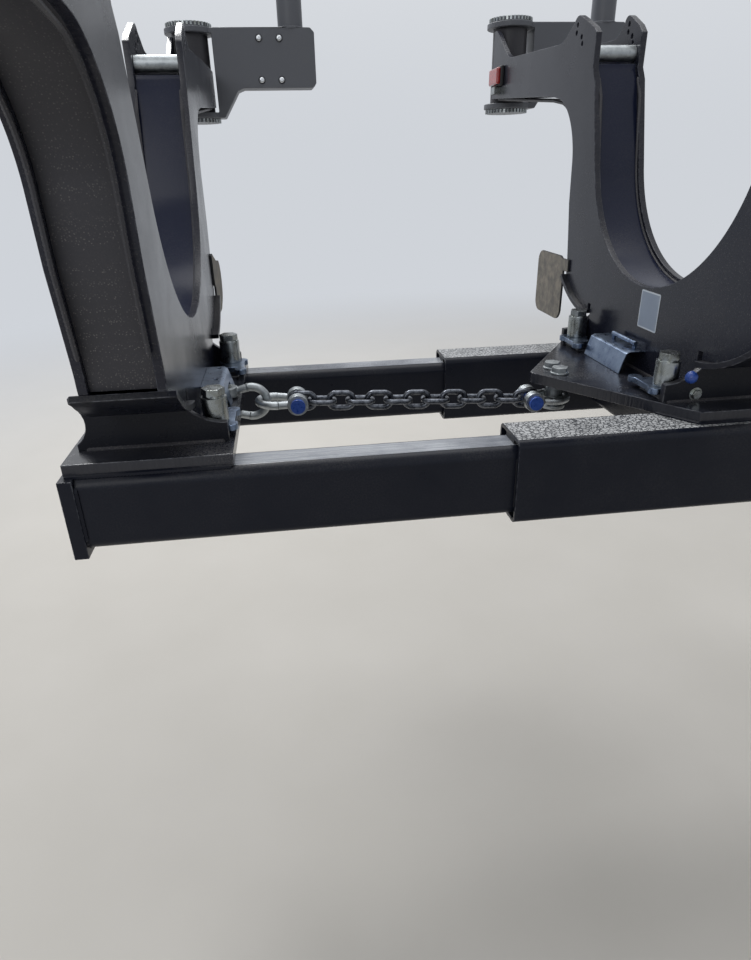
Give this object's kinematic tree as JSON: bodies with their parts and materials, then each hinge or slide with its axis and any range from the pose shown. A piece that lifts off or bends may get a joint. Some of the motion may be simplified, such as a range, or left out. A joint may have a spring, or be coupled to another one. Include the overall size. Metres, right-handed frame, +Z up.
{
  "type": "extending rear load frame of a forestry forwarder",
  "caption": "Rear end of a log-carrying frame: rails that telescope, cradle-shaped bunks on them, stakes on arms that swing outwards, and a tie chain between the fixed and sliding parts.",
  "frame": {"origin": "centre of the mounting plate's front face, which is the centre of its four bolt holes", "axes": "+X forward along the machine, normal to the mounting face; +Y to the machine's left; +Z up"},
  "size_m": [2.158, 2.84, 2.3616],
  "materials": {
    "rail_paint": "satin dark blue-black paint",
    "bunk_paint": "gloss dark blue-black paint",
    "web_paint": "gloss navy paint",
    "arm_paint": "satin grey-black paint",
    "zinc": "yellowish zinc plating",
    "galvanised": "dull hot-dip galvanised",
    "blued_chain": "dark blued steel",
    "blue_pin": "blue paint",
    "pad_plastic": "moulded nylon",
    "lamp_red": "moulded lens",
    "panel_face": "dusty matt sheet"
  },
  "bodies": {
    "load_frame": {"outer_rail_right": "rail_paint", "outer_rail_left": "rail_paint", "mounting_plate": "rail_paint", "cross_members": "rail_paint", "mouth_pads": "pad_plastic", "front_bed_plate": "rail_paint", "front_bunk_rear_plate": "bunk_paint", "front_bunk_front_plate": "bunk_paint", "front_bunk_cradle_web": "web_paint", "front_bunk_outer_webs": "bunk_paint", "front_bunk_flange": "bunk_paint", "front_bunk_feet": "rail_paint", "front_bunk_pivots": "bunk_paint", "front_bunk_cross_pins": "galvanised", "front_clamp_plates": "zinc", "front_clamp_bolts": "zinc", "spool": "galvanised", "front_shackle": "galvanised", "front_shackle_pin": "blue_pin", "joint_cover": "zinc", "cover_strap": "zinc", "marker_panel": "panel_face", "marker_lamps": "lamp_red"},
    "sliding_frame": {"inner_rail_right": "rail_paint", "inner_rail_left": "rail_paint", "inner_pads": "pad_plastic", "end_plates": "rail_paint", "rear_bed_plate": "rail_paint", "rear_bunk_rear_plate": "bunk_paint", "rear_bunk_front_plate": "bunk_paint", "rear_bunk_cradle_web": "web_paint", "rear_bunk_outer_webs": "bunk_paint", "rear_bunk_flange": "bunk_paint", "rear_bunk_feet": "rail_paint", "rear_bunk_pivots": "bunk_paint", "rear_bunk_cross_pins": "galvanised", "rear_clamp_plates": "zinc", "rear_clamp_bolts": "zinc", "rear_joint_cover": "zinc", "rear_panel": "panel_face", "ring_shackle": "galvanised", "ring_shackle_pin": "zinc"},
    "chain": {"chain_shackle": "galvanised", "chain_shackle_pin": "blue_pin", "chain_links": "blued_chain"},
    "stake_arm_front_right": {"arm_front_right": "arm_paint", "stake_front_right": "arm_paint"},
    "stake_arm_front_left": {"arm_front_left": "arm_paint", "stake_front_left": "arm_paint"},
    "stake_arm_rear_right": {"arm_rear_right": "arm_paint", "stake_rear_right": "arm_paint"},
    "stake_arm_rear_left": {"arm_rear_left": "arm_paint", "stake_rear_left": "arm_paint"}
  },
  "joints": [
    {"name": "frame_slide", "type": "slide", "parent": "load_frame", "child": "sliding_frame", "axis": [1, 0, 0], "range_m": [0, 0.53]},
    {"name": "chain_swing", "type": "hinge", "parent": "sliding_frame", "child": "chain", "pos_m": [-1.82, 0, 0.0845], "axis": [0, 1, 0], "range_deg": [0, 87.1]},
    {"name": "arm_front_right_swing", "type": "hinge", "parent": "load_frame", "child": "stake_arm_front_right", "pos_m": [-0.824, -1.335, 0.903], "axis": [0, 0, -1], "range_deg": [0, 90]},
    {"name": "arm_front_left_swing", "type": "hinge", "parent": "load_frame", "child": "stake_arm_front_left", "pos_m": [-0.824, 1.335, 0.903], "axis": [0, 0, 1], "range_deg": [0, 90]},
    {"name": "arm_rear_right_swing", "type": "hinge", "parent": "sliding_frame", "child": "stake_arm_rear_right", "pos_m": [-1.991, -1.335, 0.885], "axis": [0, 0, -1], "range_deg": [0, 90]},
    {"name": "arm_rear_left_swing", "type": "hinge", "parent": "sliding_frame", "child": "stake_arm_rear_left", "pos_m": [-1.991, 1.335, 0.885], "axis": [0, 0, 1], "range_deg": [0, 90]}
  ],
  "couplings": [
    {"joint": "chain_swing", "follows": "frame_slide", "rad_per_m": 2.868}
  ]
}
